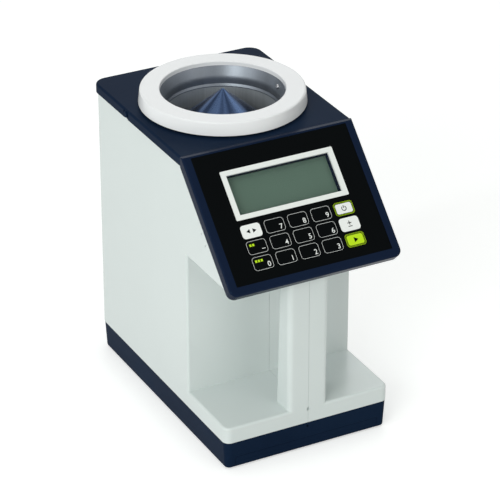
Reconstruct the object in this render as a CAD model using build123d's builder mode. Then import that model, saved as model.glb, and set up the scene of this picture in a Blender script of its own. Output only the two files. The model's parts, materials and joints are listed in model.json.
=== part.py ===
from build123d import *
import os
from math import atan, cos, degrees, radians, sin, tan

# Grain moisture meter for the bench. X is to the right, the keypad faces -Y, and Z is up.
# The origin is on the table, under the middle of the cover. Lengths are in millimetres.

os.makedirs("parts", exist_ok=True)

# Overall sizes
cover_width = 125.0
overall_depth = 205.0
overall_height = 215.0
foot_stand = 1.0
wall = 2.5
fit_gap = 0.1
seam_gap = 0.16

# Heights of the casing, from the base up
base_height = 19.8
plinth_height = 11.4
recess_share = 0.4781
cover_skirt = 6.3
cover_plate = 2.0
cover_edge_radius = 1.5
ring_gap = 1.5
ring_height = 9.2

# Plan of the casing
skirt_overhang = 1.2
corner_radius = 9.5
front_corner_radius = 5.0
plinth_setback = 11.5
recess_depth_share = 0.2649
recess_edge_radius = 1.6
base_step = 0.4
base_draft = 1.2
pillar_width = 29.0
pillar_depth_foot = 18.0
pillar_depth_head = 13.5
pillar_front_radius = 3.5
pillar_rear_radius = 2.0

# Sloping panel; its run is a share of the depth
panel_run_share = 0.336
panel_foot_rise = 1.6
bezel_depth = 7.0
bezel_lip = 2.6
bezel_rim = 5.9
bezel_floor = 2.0
bezel_corner_radius = 5.0
bezel_edge_radius = 1.4

# Keypad stack, measured down from the bezel's rim
overlay_sink = 0.2
overlay_thickness = 1.2
membrane_thickness = 0.5
key_columns = 5
key_rows = 3
key_pitch_share = 0.1352
key_row_share = 0.1139
key_middle_share = 0.2961
key_side_gap = 2.9
key_row_gap = 1.8
key_radius = 2.2
key_thickness = 0.7
key_emboss = 0.15
key_travel = 0.35
dome_radius = 2.8
dome_gap = key_travel + 0.05

# Display
display_middle_share = 0.6739
border_width_share = 0.656
border_height_share = 0.354
border_rim_x = 3.7
border_rim_s = 3.35
window_ledge = 0.6
pane_thickness = 1.0
well_depth = 3.0
lcd_margin = 2.7
lcd_thickness = 2.4
holder_wall = 1.8
board_thickness = 1.6

# Hopper, chamber and electrodes
ring_setback_share = 0.3537
ring_radius_share = 0.4416
ring_flare = 1.0
ring_wall = 2.2
ring_plate = 3.0
ring_rim = 13.3
ring_lip = 0.3
bowl_depth = 12.0
flare_depth = 7.5
flare_fillet = 8.0
neck_step = 0.8
shoulder_drop = 2.2
sheet = 0.8
flange_width = 8.4
chamber_step = 3.6
chamber_wall = 1.0
chamber_depth = 87.5
collar_depth = 6.0
grain_gap = 10.5
electrode_wall = 1.2
spigot_height = 6.0
cone_slope = 0.8545
cone_tip_radius = 1.5
thermistor_angle = -4.0
thermistor_radius = 1.0
thermistor_drop = 7.0

# Weighing gear
base_disc = 4.0
floor_disc = 4.0
platform_thickness = 3.0
post_radius = 6.0
post_height = 5.5
cell_screw_inset = 14.0
cell_travel = 0.3
cell_gap = cell_travel + 0.05
beam_section = 12.7
beam_rear_gap = 2.15
beam_bore_radius = 4.6
mount_height = 7.3
tray_thickness = 3.0
tray_inset = 0.4
ledge_width = 7.0
ledge_height = 6.0

# Cells and their bay, battery cover
cell_radius = 7.1
bay_side_space = 8.7
nub_radius = 2.75
nub_length = 1.0
cell_pitch = 15.2
cell_play = 0.1
contact_plate = 0.4
leaf_bow = 1.3
bay_wall = 1.6
bay_front_space = 3.4
door_plate = 1.8
door_lip_height = 7.5
door_lip_thickness = 2.0
door_gap = 0.2
door_travel = 7.0
tongue_length = 6.0
tongue_width = 1.4
tongue_height = 1.0

# Feet, screws, boards
foot_radius = 6.0
foot_recess = 1.5
foot_inset_x = 10.0
foot_door_gap = 3.8
foot_rear_inset = 10.0
screw_radius = 1.5
screw_head_radius = 2.75
screw_head_height = 2.0
screw_clearance = 0.1
boss_radius = 4.0
boss_height = 22.0
screw_foot_gap = 15.0
screw_rear_inset = 25.3
main_board_height = 28.0
main_board_side_inset = 13.8
main_board_front_gap = 8.0
main_board_rear_inset = 17.3
main_board_hole_inset = 6.0
side_screw_inset = 54.0
side_screw_drop = 3.3
side_screw_head_radius = 2.2
side_screw_head_height = 1.4
side_screw_radius = 1.0
side_notch_radius = 3.8
side_notch_depth = 0.6
buzzer_radius = 5.5
buzzer_height = 3.4
sound_hole_radius = 0.6
sound_hole_setback = 9.0
sound_hole_rise = 23.5
sound_hole_step_y = 5.2
sound_hole_step_z = 6.2

# Places worked out from the sizes above
base_bottom = foot_stand
base_top = base_bottom + base_height
plinth_top = base_top + plinth_height
recess_height = recess_share * overall_height
head_underside = plinth_top + recess_height
ring_top = overall_height
ring_bottom = ring_top - ring_height
cover_top = ring_bottom - ring_gap
skirt_bottom = cover_top - cover_skirt
body_top = cover_top - cover_plate

cover_half = cover_width / 2
body_half = cover_half - skirt_overhang
inner_half = body_half - wall
cover_rear = overall_depth / 2
body_rear = cover_rear - skirt_overhang
body_front = -overall_depth / 2 + plinth_setback
recess_depth = recess_depth_share * overall_depth
back_wall = body_front + recess_depth
pillar_half = pillar_width / 2
base_half = body_half - base_step
base_front = body_front + base_step
base_rear = body_rear - base_step

panel_foot_z = head_underside + panel_foot_rise
tilt = atan((cover_top - panel_foot_z) / (panel_run_share * overall_depth))
# The rounded foot edge of the panel is what touches the overall depth
panel_foot_y = -overall_depth / 2 - bezel_edge_radius * (sin(tilt) + cos(tilt) - 1)
panel_length = (cover_top - panel_foot_z) / sin(tilt)
panel_top_y = panel_foot_y + panel_length * cos(tilt)
seam_y = panel_top_y + bezel_lip
panel = Plane(origin=(0, panel_foot_y, panel_foot_z), x_dir=(1, 0, 0), z_dir=(0, -sin(tilt), cos(tilt)))

ring_y = cover_rear - ring_setback_share * overall_depth
ring_radius = ring_radius_share * cover_width
ring_opening_radius = ring_radius - ring_rim
bowl_radius = ring_opening_radius - ring_lip
chamber_radius = bowl_radius - chamber_step
electrode_radius = chamber_radius - grain_gap
cone_height = cone_slope * electrode_radius
cell_screw_ring = chamber_radius - cell_screw_inset
platform_radius = chamber_radius - 1.0
axis_plane = Plane(origin=(0, ring_y, 0), x_dir=(1, 0, 0), z_dir=(0, -1, 0))
bowl_top = ring_top - ring_plate
shoulder_top = bowl_top - bowl_depth
neck_radius = chamber_radius + neck_step
neck_top = bowl_top - flare_depth
flare_angle = atan((bowl_radius - neck_radius) / flare_depth)
chamber_top = shoulder_top - shoulder_drop
chamber_floor = ring_top - chamber_depth
can_bottom = chamber_floor - floor_disc
cell_base_bottom = can_bottom - base_disc
platform_bottom = cell_base_bottom - platform_thickness
beam_top = platform_bottom - post_height - cell_gap
beam_bottom = beam_top - beam_section
beam_front = ring_y - beam_section / 2
tray_top = beam_bottom - mount_height
tray_bottom = tray_top - tray_thickness
tray_front = ring_y - chamber_radius
tray_rear = body_rear - corner_radius
tray_length = tray_rear - tray_front
tray_middle_y = (tray_front + tray_rear) / 2
tray_screw_x = inner_half - ledge_width / 2
tray_screw_ys = (tray_front + 8, tray_rear - 8)

overlay_width = cover_width - 2 * bezel_rim
overlay_foot = bezel_rim
key_pitch_x = key_pitch_share * cover_width
key_pitch_s = key_row_share * panel_length
key_middle_s = key_middle_share * panel_length
key_width = key_pitch_x - key_side_gap
key_height = key_pitch_s - key_row_gap
display_middle_s = display_middle_share * panel_length
border_width = border_width_share * cover_width
border_height = border_height_share * panel_length
window_width = border_width - 2 * border_rim_x
window_height = border_height - 2 * border_rim_s
lcd_width = window_width + 2 * lcd_margin
lcd_height = window_height + 2 * lcd_margin
overlay_height = panel_length - 2 * bezel_rim + 4.6
overlay_middle_s = overlay_foot + overlay_height / 2
stack_depth = overlay_sink + overlay_thickness + membrane_thickness
floor_depth = stack_depth + bezel_floor
lcd_depth = stack_depth + well_depth
board_depth = lcd_depth + lcd_thickness + holder_wall

bay_half = base_half - bay_side_space
row_half = bay_half - cell_play - leaf_bow - contact_plate - fit_gap
cell_length = row_half - nub_length - cell_play
bay_front = base_front + base_draft + bay_front_space
bay_length = 2 * cell_pitch + 0.8
bay_rear = bay_front + bay_length
bay_bottom = base_bottom + door_plate + door_gap
bay_top = bay_bottom + 2 * cell_radius + 0.8
cell_z = bay_bottom + 0.4 + cell_radius
door_half = bay_half + 1.0
door_rear = bay_rear + 2.0
foot_x = body_half - foot_inset_x
foot_front_y = door_rear + foot_door_gap + foot_radius
foot_ys = (foot_front_y, body_rear - foot_rear_inset)
screw_front_y = foot_front_y + screw_foot_gap
screw_rear_y = body_rear - screw_rear_inset
main_board_width = 2 * (inner_half - main_board_side_inset)
main_board_front = screw_front_y + main_board_front_gap
main_board_length = body_rear - main_board_rear_inset - main_board_front
main_board_middle_y = main_board_front + main_board_length / 2
side_screw_y = cover_rear - side_screw_inset


def bezel_rear_y(z):
    """Where the bezel's rear plane lies at height z."""
    return panel_foot_y + (z - panel_foot_z) / tan(tilt) + bezel_depth / sin(tilt)


slope_top_y = bezel_rear_y(body_top)
slope_foot_y = bezel_rear_y(head_underside)
buzzer_z = head_underside + sound_hole_rise
buzzer_y = bezel_rear_y(buzzer_z) + sound_hole_setback
sound_hole_places = (
    (buzzer_y + sound_hole_step_y / 2, buzzer_z + sound_hole_step_z / 2),
    (buzzer_y - sound_hole_step_y / 2, buzzer_z - sound_hole_step_z / 2),
)


# White body: the right half is made first, with the room inside it, and the left half mirrors it
with BuildPart() as body_room:
    with BuildSketch(Plane.YZ):
        with BuildLine():
            Polyline(
                (body_rear - wall, base_top - 1),
                (body_rear - wall, body_top + 1),
                (slope_top_y - bezel_depth, body_top + 1),
                (slope_foot_y - bezel_depth, head_underside + wall),
                (back_wall + wall, head_underside + wall),
                (back_wall + wall, plinth_top - wall),
                (body_front + wall, plinth_top - wall),
                (body_front + wall, base_top - 1),
                close=True,
            )
        make_face()
    extrude(amount=inner_half)
    room_corners = body_room.edges().filter_by(Axis.Z).group_by(Axis.X)[-1]
    fillet(room_corners.group_by(Axis.Y)[-1], corner_radius - skirt_overhang - wall)

with BuildPart() as pillar_block:
    with BuildSketch(Plane.YZ):
        with BuildLine():
            Polyline(
                (body_front, plinth_top - wall - 0.5),
                (body_front, head_underside + wall / 2),
                (body_front + pillar_depth_head, head_underside + wall / 2),
                (body_front + pillar_depth_foot, plinth_top - wall - 0.5),
                close=True,
            )
        make_face()
    extrude(amount=pillar_half)
    pillar_uprights = pillar_block.faces().sort_by(Axis.X)[-1].edges().sort_by(Axis.Y)
    fillet(pillar_uprights[0], pillar_front_radius)
    pillar_rear_edge = pillar_block.faces().sort_by(Axis.X)[-1].edges().sort_by(Axis.Y)[-1]
    fillet(pillar_rear_edge, pillar_rear_radius)

pillar_room_depth = pillar_depth_head - 2 * wall

with BuildPart() as body_right:
    with BuildSketch(Plane.YZ):
        with BuildLine():
            Polyline(
                (body_rear, base_top),
                (body_rear, body_top),
                (slope_top_y, body_top),
                (slope_foot_y, head_underside),
                (back_wall, head_underside),
                (back_wall, plinth_top),
                (body_front, plinth_top),
                (body_front, base_top),
                close=True,
            )
        make_face()
    extrude(amount=body_half)
    side_uprights = body_right.edges().filter_by(Axis.Z).group_by(Axis.X)[-1]
    fillet(side_uprights.group_by(Axis.Y)[-1], corner_radius - skirt_overhang)
    side_uprights = body_right.edges().filter_by(Axis.Z).group_by(Axis.X)[-1]
    fillet(side_uprights.group_by(Axis.Y)[0], front_corner_radius)
    level_faces = body_right.faces().filter_by(Axis.Z).group_by(Axis.Z)
    ledge_rim = level_faces[1].edges().sort_by(Axis.Y)[:-1].filter_by(lambda e: e.center().X > 0.1)
    head_rim = level_faces[2].edges().filter_by(lambda e: e.center().X > body_half - 0.1)
    recess_side = body_right.edges().filter_by(Axis.Z).filter_by(
        lambda e: abs(e.center().Y - back_wall) < 0.1 and e.center().X > 1)
    fillet(ledge_rim + head_rim + recess_side, recess_edge_radius)
    add(pillar_block.part)
    add(body_room.part, mode=Mode.SUBTRACT)
    with Locations((0, body_front + wall + pillar_room_depth / 2, (plinth_top + head_underside) / 2)):
        Box(2 * (pillar_half - wall), pillar_room_depth, recess_height + 2 * wall + 2, mode=Mode.SUBTRACT)
    # Ledge that carries the inner tray, with the holes of the tray's screws
    with Locations((inner_half - ledge_width / 2 + wall / 4, tray_middle_y, tray_bottom - ledge_height / 2)):
        Box(ledge_width + wall / 2, tray_length, ledge_height)
    for hole_y in tray_screw_ys:
        with Locations((tray_screw_x, hole_y, tray_bottom)):
            Cylinder(screw_radius + screw_clearance, 2 * (ledge_height - 1), mode=Mode.SUBTRACT)
    # Bosses that take the base screws, each with a web to the side wall
    for boss_y in (screw_front_y, screw_rear_y):
        with Locations((foot_x, boss_y, base_top)):
            Cylinder(boss_radius, boss_height, align=(Align.CENTER, Align.CENTER, Align.MIN))
        with Locations(((foot_x + body_half - wall / 2) / 2, boss_y, base_top)):
            web_length = body_half - wall / 2 - foot_x
            Box(web_length, 2.0, boss_height, align=(Align.CENTER, Align.CENTER, Align.MIN))
        with Locations((foot_x, boss_y, base_top)):
            Cylinder(screw_radius + screw_clearance, 2 * boss_height - 8, mode=Mode.SUBTRACT)
    # Slot for the shank of the side screw, mould slot on the seam, and the seam's own gap
    with Locations((body_half, side_screw_y, cover_top - side_screw_drop)):
        Cylinder(side_screw_radius + screw_clearance, 4 * wall, rotation=(0, 90, 0), mode=Mode.SUBTRACT)
    with Locations((0, body_front, plinth_top - 1)):
        Box(1.8, 3.0, 2.6, mode=Mode.SUBTRACT)
    with Locations((0, 0, overall_height / 2)):
        Box(seam_gap, 2 * overall_depth, overall_height, mode=Mode.SUBTRACT)

with BuildPart() as body_left:
    add(body_right.part)
    mirror(about=Plane.YZ)
    with Locations((cover_half, 0, overall_height / 2)):
        Box(cover_width, 2 * overall_depth, 2 * overall_height, mode=Mode.SUBTRACT)
    # Sound holes of the buzzer
    for hole_y, hole_z in sound_hole_places:
        with Locations((-body_half, hole_y, hole_z)):
            Cylinder(sound_hole_radius, 4 * wall, rotation=(0, 90, 0), mode=Mode.SUBTRACT)
body_left.part.label = "body_left"
export_step(body_left.part, "parts/body_left.step")

body_right.part.label = "body_right"
export_step(body_right.part, "parts/body_right.step")


# Navy base pan, with the bay for the cells
base_rise = base_top - base_bottom
draft_angle = -degrees(atan(base_draft / base_rise))
base_length = base_rear - base_front
base_middle_y = (base_rear + base_front) / 2

with BuildPart() as base_outline:
    with BuildSketch(Plane.XY.offset(base_bottom)):
        with Locations((0, base_middle_y)):
            Rectangle(2 * (base_half - base_draft), base_length - 2 * base_draft)
        fillet(vertices().group_by(Axis.Y)[-1], corner_radius - skirt_overhang - base_step - base_draft)
        fillet(vertices().group_by(Axis.Y)[0], front_corner_radius - base_step - base_draft)
    extrude(amount=base_rise, taper=draft_angle)
    fillet(base_outline.faces().sort_by(Axis.Z)[0].edges(), 0.8)

with BuildPart() as base_pan:
    add(base_outline.part)
    with BuildSketch(Plane.XY.offset(base_bottom + wall)):
        with Locations((0, base_middle_y)):
            room_width = 2 * (base_half - base_draft - wall)
            RectangleRounded(room_width, base_length - 2 * (base_draft + wall), front_corner_radius - 1)
    extrude(amount=base_rise, mode=Mode.SUBTRACT)
    # Walls of the cell bay, then the bay itself, open below
    with Locations((0, (bay_front + bay_rear) / 2, base_bottom + wall / 2)):
        bay_block_height = bay_top + bay_wall - base_bottom - wall / 2
        Box(2 * (bay_half + bay_wall), bay_length + 2 * bay_wall, bay_block_height,
            align=(Align.CENTER, Align.CENTER, Align.MIN))
    with Locations((0, (bay_front + bay_rear) / 2, base_bottom - 1)):
        Box(2 * bay_half, bay_length, bay_top - base_bottom + 1,
            align=(Align.CENTER, Align.CENTER, Align.MIN), mode=Mode.SUBTRACT)
    # Seat of the cover's plate and of its front lip
    with Locations((0, base_front - 5, base_bottom - 1)):
        Box(2 * (door_half + door_gap), door_rear + door_gap - base_front + 5, bay_bottom - base_bottom + 1,
            align=(Align.CENTER, Align.MIN, Align.MIN), mode=Mode.SUBTRACT)
        Box(2 * (door_half + door_gap), 5 + base_draft + door_lip_thickness + door_gap,
            door_lip_height + door_gap + 1,
            align=(Align.CENTER, Align.MIN, Align.MIN), mode=Mode.SUBTRACT)
    # Grooves of the cover's tongues, each with a gap in front to drop out of
    for tongue_y in (bay_front + 9, door_rear - tongue_length - 1):
        for side in (-1, 1):
            groove_x = side * (door_half + tongue_width / 2)
            groove_front = tongue_y - door_travel - 2 * door_gap
            with Locations((groove_x, groove_front, bay_bottom - door_gap - tongue_height - 0.1)):
                Box(tongue_width + 2 * door_gap, tongue_y + tongue_length + door_gap - groove_front,
                    tongue_height + 2 * door_gap + 0.1,
                    align=(Align.CENTER, Align.MIN, Align.MIN), mode=Mode.SUBTRACT)
            with Locations((groove_x, groove_front, base_bottom - 1)):
                Box(tongue_width + 2 * door_gap, door_travel + door_gap, wall,
                    align=(Align.CENTER, Align.MIN, Align.MIN), mode=Mode.SUBTRACT)
    # Posts of the main board, on a cross of ribs
    board_hole_x = main_board_width / 2 - main_board_hole_inset
    board_hole_y = main_board_length / 2 - main_board_hole_inset
    with Locations((0, main_board_middle_y, base_bottom + wall)):
        with GridLocations(2 * board_hole_x, 2 * board_hole_y, 2, 2):
            Cylinder(boss_radius - 1, main_board_height - base_bottom - wall,
                     align=(Align.CENTER, Align.CENTER, Align.MIN))
            Cylinder(screw_radius - 0.4, main_board_height, align=(Align.CENTER, Align.CENTER, Align.MIN),
                     mode=Mode.SUBTRACT)
    # Sleeves of the base screws, and the recesses of the feet
    for boss_y in (screw_front_y, screw_rear_y):
        for side in (-1, 1):
            with Locations((side * foot_x, boss_y, base_bottom + wall / 2)):
                Cylinder(boss_radius, base_rise - wall / 2, align=(Align.CENTER, Align.CENTER, Align.MIN))
            with Locations((side * foot_x, boss_y, base_bottom)):
                Cylinder(screw_radius + screw_clearance, 3 * base_height, mode=Mode.SUBTRACT)
                Cylinder(screw_head_radius + screw_clearance, 2 * screw_head_height + 2, mode=Mode.SUBTRACT)
    for foot_y in foot_ys:
        with Locations((-foot_x, foot_y, base_bottom), (foot_x, foot_y, base_bottom)):
            Cylinder(foot_radius + fit_gap, 2 * foot_recess, mode=Mode.SUBTRACT)
    # Small round hole in the middle of the front
    with Locations((0, base_front + base_draft, base_top - 3.2)):
        Cylinder(0.8, 6 * wall, rotation=(90, 0, 0), mode=Mode.SUBTRACT)
base_pan.part.label = "base_pan"
export_step(base_pan.part, "parts/base_pan.step")

with BuildPart() as rubber_feet:
    for foot_y in foot_ys:
        with Locations((-foot_x, foot_y, 0), (foot_x, foot_y, 0)):
            Cylinder(foot_radius, foot_stand + foot_recess, align=(Align.CENTER, Align.CENTER, Align.MIN))
    fillet(rubber_feet.edges().group_by(Axis.Z)[0], 0.6)
rubber_feet.part.label = "rubber_feet"
export_step(rubber_feet.part, "parts/rubber_feet.step")

with BuildPart() as base_screws:
    for boss_y in (screw_front_y, screw_rear_y):
        for side in (-1, 1):
            with Locations((side * foot_x, boss_y, base_bottom + 1)):
                Cylinder(screw_head_radius, screw_head_height, align=(Align.CENTER, Align.CENTER, Align.MIN))
                Cylinder(screw_radius, base_height + 10, align=(Align.CENTER, Align.CENTER, Align.MIN))
base_screws.part.label = "base_screws"
export_step(base_screws.part, "parts/base_screws.step")

with BuildPart() as battery_cover:
    add(base_outline.part)
    with BuildSketch(Plane.YZ) as door_side:
        with BuildLine():
            Polyline(
                (base_front - 3, base_bottom - 1),
                (base_front - 3, base_bottom + door_lip_height),
                (base_front + base_draft + door_lip_thickness, base_bottom + door_lip_height),
                (base_front + base_draft + door_lip_thickness, base_bottom + door_plate),
                (door_rear, base_bottom + door_plate),
                (door_rear, base_bottom - 1),
                close=True,
            )
        make_face()
    extrude(amount=door_half, both=True, mode=Mode.INTERSECT)
    # Two tongues on each side hold the cover up
    for tongue_y in (bay_front + 9, door_rear - tongue_length - 1):
        for side in (-1, 1):
            with Locations((side * door_half, tongue_y, base_bottom + door_plate - tongue_height)):
                Box(2 * tongue_width, tongue_length, tongue_height,
                    align=(Align.CENTER, Align.MIN, Align.MIN))
    # Finger grooves under the front edge
    with Locations((0, bay_front + 4, base_bottom)):
        with GridLocations(0, 2.4, 1, 3):
            Box(22, 1.0, 0.8, mode=Mode.SUBTRACT)
battery_cover.part.label = "battery_cover"
export_step(battery_cover.part, "parts/battery_cover.step")

# Four cells in two rows along X, the second row turned round
with BuildPart() as batteries:
    for row, turn in ((0, 1), (1, -1)):
        row_y = bay_front + 0.4 + cell_pitch * (row + 0.5)
        for tail in (-row_half, cell_play):
            tail_x = turn * tail
            with BuildSketch(Plane(origin=(tail_x, row_y, cell_z), x_dir=(0, 1, 0), z_dir=(turn, 0, 0))):
                Circle(cell_radius)
            extrude(amount=cell_length)
            nub_x = tail_x + turn * cell_length
            with BuildSketch(Plane(origin=(nub_x, row_y, cell_z), x_dir=(0, 1, 0), z_dir=(turn, 0, 0))):
                Circle(nub_radius)
            extrude(amount=nub_length)
batteries.part.label = "batteries"
export_step(batteries.part, "parts/batteries.step")

# Leaf contacts: a plate on each end wall of the bay, with a bowed tongue that meets the cells
with BuildPart() as battery_contacts:
    for side in (-1, 1):
        plate_x = side * (bay_half - fit_gap - contact_plate / 2)
        with Locations((plate_x, (bay_front + bay_rear) / 2, (bay_bottom + bay_top) / 2)):
            Box(contact_plate, 2 * cell_pitch - 2, bay_top - bay_bottom - 4)
        for row in (0, 1):
            row_y = bay_front + 0.4 + cell_pitch * (row + 0.5)
            leaf_plane = Plane(origin=(side * (bay_half - fit_gap - contact_plate), row_y, cell_z),
                               x_dir=(-side, 0, 0), z_dir=(0, 1, 0))
            with BuildSketch(leaf_plane):
                with BuildLine():
                    ThreePointArc((-contact_plate / 2, -4), (leaf_bow, 0), (-contact_plate / 2, 4))
                    ThreePointArc((-contact_plate / 2, 4), (leaf_bow - contact_plate, 0), (-contact_plate / 2, -4))
                make_face()
            extrude(amount=2.5, both=True)
battery_contacts.part.label = "battery_contacts"
export_step(battery_contacts.part, "parts/battery_contacts.step")


# Navy top cover, with a collar that stands up inside the hopper ring
cover_front = seam_y + 0.2
cover_length = cover_rear - cover_front
collar_inner = bowl_radius + sheet + flange_width - 1.5
collar_outer = collar_inner + 1.5
with BuildPart() as top_cover:
    with BuildSketch(Plane.XY.offset(skirt_bottom)):
        with Locations((0, (cover_rear + cover_front) / 2)):
            Rectangle(cover_width, cover_length)
        fillet(vertices().group_by(Axis.Y)[-1], corner_radius)
    extrude(amount=cover_skirt)
    cover_rim = top_cover.faces().sort_by(Axis.Z)[-1].edges().sort_by(Axis.Y)[1:]
    fillet(cover_rim, cover_edge_radius)
    with BuildSketch(Plane.XY.offset(skirt_bottom)):
        inset = skirt_overhang - fit_gap
        with Locations((0, (cover_rear + cover_front) / 2 - inset)):
            Rectangle(2 * (cover_half - inset), cover_length)
        fillet(vertices().group_by(Axis.Y)[-1], corner_radius - inset)
    extrude(amount=cover_skirt - cover_plate, mode=Mode.SUBTRACT)
    with Locations((0, ring_y, cover_top - 0.5)):
        Cylinder(collar_outer, 4.5, align=(Align.CENTER, Align.CENTER, Align.MIN))
    with Locations((0, ring_y, cover_top)):
        Cylinder(collar_inner, 4 * cover_skirt, mode=Mode.SUBTRACT)
    for side in (-1, 1):
        with Locations((side * cover_half, side_screw_y, cover_top - side_screw_drop)):
            Cylinder(side_notch_radius, 2 * side_notch_depth, rotation=(0, 90, 0), mode=Mode.SUBTRACT)
            Cylinder(side_screw_radius + screw_clearance, 4 * wall, rotation=(0, 90, 0), mode=Mode.SUBTRACT)
top_cover.part.label = "top_cover"
export_step(top_cover.part, "parts/top_cover.step")

with BuildPart() as cover_screws:
    for side in (-1, 1):
        seat_x = side * (cover_half - side_notch_depth)
        with BuildSketch(Plane(origin=(seat_x, side_screw_y, cover_top - side_screw_drop),
                               x_dir=(0, 1, 0), z_dir=(side, 0, 0))):
            Circle(side_screw_head_radius)
        extrude(amount=side_screw_head_height)
        with BuildSketch(Plane(origin=(seat_x, side_screw_y, cover_top - side_screw_drop),
                               x_dir=(0, 1, 0), z_dir=(-side, 0, 0))):
            Circle(side_screw_radius)
        extrude(amount=2 * wall)
    fillet(cover_screws.edges().filter_by(GeomType.CIRCLE).filter_by(
        lambda e: abs(e.center().X) > cover_half + 0.5), 0.6)
cover_screws.part.label = "cover_screws"
export_step(cover_screws.part, "parts/cover_screws.step")


# Sloping panel: bezel, overlay, membrane, domes and keys
bezel_foot_y = panel_foot_y + bezel_depth * sin(tilt)
bezel_foot_z = panel_foot_z - bezel_depth * cos(tilt)
bezel_shoulder_z = panel_foot_z + (seam_y - panel_foot_y) * tan(tilt) - bezel_depth / cos(tilt)
post_s = (display_middle_s - border_height, panel_length - 9.0)
head_front_y = bezel_rear_y(head_underside + wall)
pocket_foot = (head_front_y - panel_foot_y) * cos(tilt) + (head_underside + wall - panel_foot_z) * sin(tilt) + 0.4
pocket_top = (seam_y - panel_foot_y) * cos(tilt) + (bezel_shoulder_z - panel_foot_z) * sin(tilt) - 1.7
post_x = overlay_width / 2 - 6.0
with BuildPart() as panel_bezel:
    with BuildSketch(Plane.YZ):
        with BuildLine():
            Polyline(
                (panel_foot_y, panel_foot_z),
                (panel_top_y, cover_top),
                (seam_y, cover_top),
                (seam_y, bezel_shoulder_z),
                (bezel_foot_y, bezel_foot_z),
                close=True,
            )
        make_face()
    extrude(amount=cover_half, both=True)
    foot_corners = panel_bezel.edges().filter_by(
        lambda e: abs(e.length - bezel_depth) < 0.05 and e.center().Z < head_underside + 5)
    fillet(foot_corners, bezel_corner_radius)
    slope_face = panel_bezel.faces().filter_by(lambda f: f.normal_at().Y < -0.5 and f.normal_at().Z > 0.5)
    slope_rim = slope_face.sort_by(SortBy.AREA)[-1].edges().sort_by(Axis.Z)[:-1]
    fillet(slope_rim, bezel_edge_radius)
    # Seat of the overlay, and the room behind the floor
    with BuildSketch(panel):
        with Locations((0, overlay_middle_s)):
            Rectangle(overlay_width + 2 * fit_gap, overlay_height + 2 * fit_gap)
    extrude(amount=-stack_depth, mode=Mode.SUBTRACT)
    with BuildSketch(panel.offset(-floor_depth)):
        with Locations((0, (pocket_foot + pocket_top) / 2)):
            RectangleRounded(2 * inner_half, pocket_top - pocket_foot, 3)
    extrude(amount=-bezel_depth, mode=Mode.SUBTRACT)
    # Well of the display, and the posts of its board
    with BuildSketch(panel.offset(-stack_depth)):
        with Locations((0, display_middle_s)):
            Rectangle(window_width + 2 * holder_wall, window_height + 2 * holder_wall)
    extrude(amount=-well_depth)
    with BuildSketch(panel.offset(-stack_depth)):
        with Locations((0, display_middle_s)):
            Rectangle(window_width - 2 * window_ledge, window_height - 2 * window_ledge)
    extrude(amount=-well_depth, mode=Mode.SUBTRACT)
    with BuildSketch(panel.offset(-floor_depth + 0.5)):
        for s in post_s:
            with Locations((-post_x, s), (post_x, s)):
                Circle(boss_radius - 1)
    extrude(amount=-(board_depth - floor_depth + 0.5))
    with BuildSketch(panel.offset(-board_depth)):
        for s in post_s:
            with Locations((-post_x, s), (post_x, s)):
                Circle(screw_radius - 0.4)
    extrude(amount=board_depth - floor_depth, mode=Mode.SUBTRACT)
    # Slot for the tail of the membrane
    with BuildSketch(panel.offset(-stack_depth)):
        with Locations((0, pocket_foot + 1.3)):
            Rectangle(16, 1.6)
    extrude(amount=-bezel_floor, mode=Mode.SUBTRACT)
panel_bezel.part.label = "panel_bezel"
export_step(panel_bezel.part, "parts/panel_bezel.step")

with BuildPart() as keypad_overlay:
    with BuildSketch(panel.offset(-overlay_sink)):
        with Locations((0, overlay_middle_s)):
            Rectangle(overlay_width, overlay_height)
        with Locations((0, display_middle_s)):
            Rectangle(border_width + 2 * fit_gap, border_height + 2 * fit_gap, mode=Mode.SUBTRACT)
        with Locations((0, key_middle_s)):
            with GridLocations(key_pitch_x, key_pitch_s, key_columns, key_rows):
                RectangleRounded(key_width + 2 * fit_gap, key_height + 2 * fit_gap,
                                 key_radius + fit_gap, mode=Mode.SUBTRACT)
    extrude(amount=-overlay_thickness)
keypad_overlay.part.label = "keypad_overlay"
export_step(keypad_overlay.part, "parts/keypad_overlay.step")

with BuildPart() as membrane_circuit:
    with BuildSketch(panel.offset(-overlay_sink - overlay_thickness)):
        with Locations((0, overlay_middle_s)):
            Rectangle(overlay_width - 1, overlay_height - 1)
        with Locations((0, display_middle_s)):
            Rectangle(border_width + 2 * fit_gap, border_height + 2 * fit_gap, mode=Mode.SUBTRACT)
    extrude(amount=-membrane_thickness)
membrane_circuit.part.label = "membrane_circuit"
export_step(membrane_circuit.part, "parts/membrane_circuit.step")

key_bottom_depth = overlay_sink - key_emboss + key_thickness
dome_height = overlay_sink + overlay_thickness - key_bottom_depth - dome_gap
with BuildPart() as key_domes:
    with BuildSketch(panel.offset(-overlay_sink - overlay_thickness)):
        with Locations((0, key_middle_s)):
            with GridLocations(key_pitch_x, key_pitch_s, key_columns, key_rows):
                Circle(dome_radius)
    extrude(amount=dome_height, taper=60)
key_domes.part.label = "key_domes"
export_step(key_domes.part, "parts/key_domes.step")

key_names = (
    ("key_0", "key_1", "key_2", "key_3", "key_measure"),
    ("key_minus", "key_4", "key_5", "key_6", "key_bias"),
    ("key_select", "key_7", "key_8", "key_9", "key_power"),
)
for row, names in enumerate(key_names):
    for column, key_name in enumerate(names):
        key_x = (column - (key_columns - 1) / 2) * key_pitch_x
        key_s = key_middle_s + (row - (key_rows - 1) / 2) * key_pitch_s
        with BuildPart() as key:
            with BuildSketch(panel.offset(-key_bottom_depth)):
                with Locations((key_x, key_s)):
                    RectangleRounded(key_width, key_height, key_radius)
            extrude(amount=key_thickness)
        key.part.label = key_name
        export_step(key.part, f"parts/{key_name}.step")


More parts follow.
